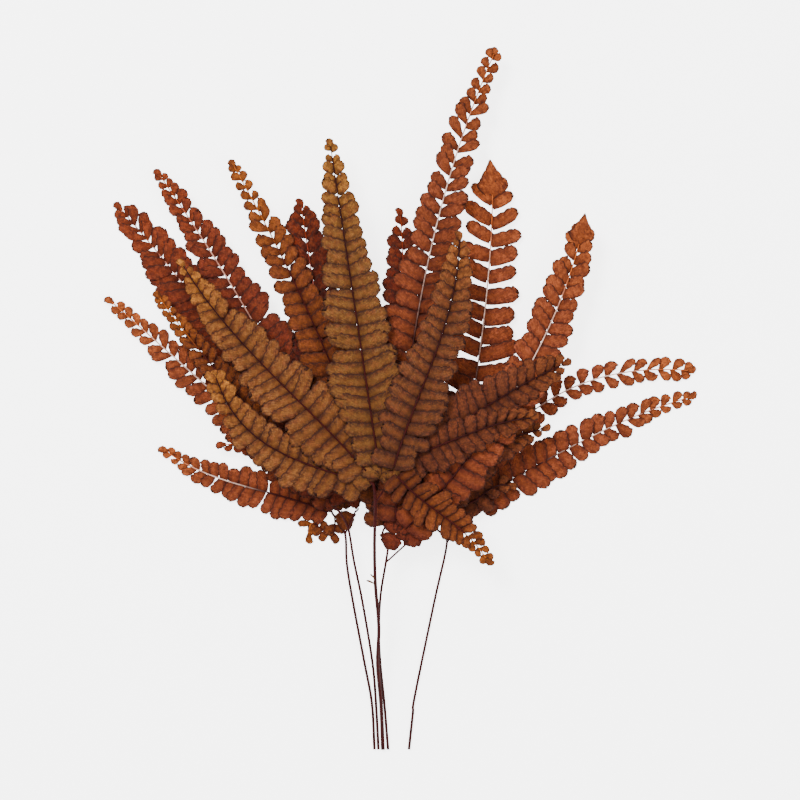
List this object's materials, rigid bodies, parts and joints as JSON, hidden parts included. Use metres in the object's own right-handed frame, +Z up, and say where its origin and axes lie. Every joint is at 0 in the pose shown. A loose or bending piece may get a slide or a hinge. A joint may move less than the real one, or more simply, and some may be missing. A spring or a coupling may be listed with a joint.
{
  "type": "fern frond spray",
  "caption": "Loose bunch of dried rust and olive-gold fern fronds with forked dark wiry stems and feathery leaf fingers, lying flat.",
  "frame": {"origin": "on the resting surface, under the middle of the bounding box", "axes": "+Y from the cut feet of the stems to the leaf tips, +Z up off the surface, +X to the right seen from above"},
  "size_m": [0.3496, 0.4182, 0.0303],
  "materials": {
    "stem": "dark glossy wiry stem",
    "rust_leaf": "dry matt leaf, rust red",
    "olive_leaf": "dry felted leaf, olive gold"
  },
  "bodies": {
    "root": {"stipe_left": "stem", "stipe_inner_left": "stem", "stipe_centre": "stem", "stipe_right": "stem", "stipe_front": "stem", "pinna_left_1": "rust_leaf", "pinna_left_2": "rust_leaf", "pinna_left_3": "rust_leaf", "pinna_left_4": "rust_leaf", "pinna_inner_left_1": "rust_leaf", "pinna_inner_left_2": "rust_leaf", "pinna_inner_left_3": "rust_leaf", "pinna_inner_left_4": "rust_leaf", "pinna_centre_1": "rust_leaf", "pinna_centre_2": "rust_leaf", "pinna_centre_3": "rust_leaf", "pinna_centre_4": "rust_leaf", "pinna_centre_5": "rust_leaf", "pinna_right_1": "rust_leaf", "pinna_right_2": "rust_leaf", "pinna_right_3": "rust_leaf", "pinna_right_4": "rust_leaf", "pinna_front_1": "olive_leaf", "pinna_front_2": "olive_leaf", "pinna_front_3": "olive_leaf", "pinna_front_4": "olive_leaf", "pinna_front_5": "olive_leaf", "pinna_front_6": "olive_leaf", "pinna_front_7": "olive_leaf"}
  },
  "joints": []
}
